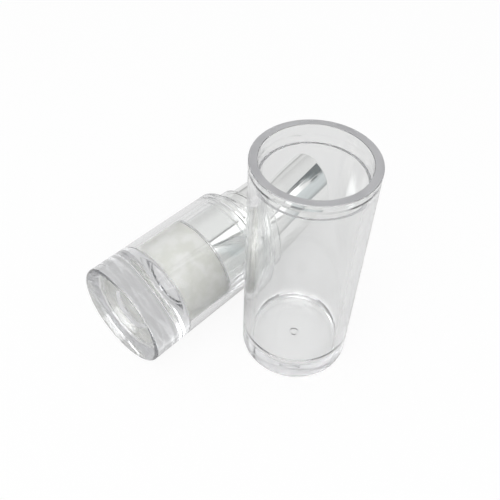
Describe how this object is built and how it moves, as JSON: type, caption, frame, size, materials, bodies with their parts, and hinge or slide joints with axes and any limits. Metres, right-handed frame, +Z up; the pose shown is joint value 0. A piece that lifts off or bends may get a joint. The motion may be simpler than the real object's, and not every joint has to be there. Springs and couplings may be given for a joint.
{
  "type": "lipstick tube",
  "caption": "Clear lipstick tube, opened: the thick-bottomed base lies on its side with its silver twist-up sleeve and stick cup, and the clear cap stands mouth up beside it.",
  "frame": {"origin": "on the table, under the middle of the pair: the base that lies on its side and the cap that stands beside it", "axes": "+X along the base's axis from its closed end to the sleeve's mouth, +Z up, the cap on the -Y side with its mouth up"},
  "size_m": [0.0588, 0.0452, 0.0486],
  "materials": {
    "clear_base": "clear, thick-walled, polished",
    "clear_collar": "clear, polished",
    "clear_cap": "clear, thick-walled, polished, lip slightly frosted",
    "milky_core": "milky, faintly see-through",
    "silver_sleeve": "bright polished",
    "white_cam": "smooth white",
    "white_tube": "smooth white",
    "white_cup": "smooth white",
    "soft_ring": "soft, dull grey"
  },
  "bodies": {
    "base": {"base_shell": "clear_base", "mechanism_base": "milky_core", "neck_collar": "clear_collar", "slotted_tube": "white_tube", "friction_ring": "soft_ring"},
    "sleeve": {"inner_sleeve": "silver_sleeve", "cam_sleeve": "white_cam"},
    "cup": {"carrier_cup": "white_cup"},
    "cap": {"cap": "clear_cap"}
  },
  "joints": [
    {"name": "sleeve_twist", "type": "hinge", "parent": "base", "child": "sleeve", "pos_m": [0, 0.01158, 0.011], "axis": [1, 0, 0], "range_deg": [0, 720]},
    {"name": "cup_lift", "type": "slide", "parent": "base", "child": "cup", "axis": [1, 0, 0], "range_m": [0, 0.024]},
    {"name": "cap_lift", "type": "slide", "parent": "base", "child": "cap", "axis": [0, 0, 1], "range_m": [0, 0.05]}
  ],
  "couplings": [
    {"joint": "cup_lift", "follows": "sleeve_twist", "m_per_rad": 0.0019098}
  ]
}
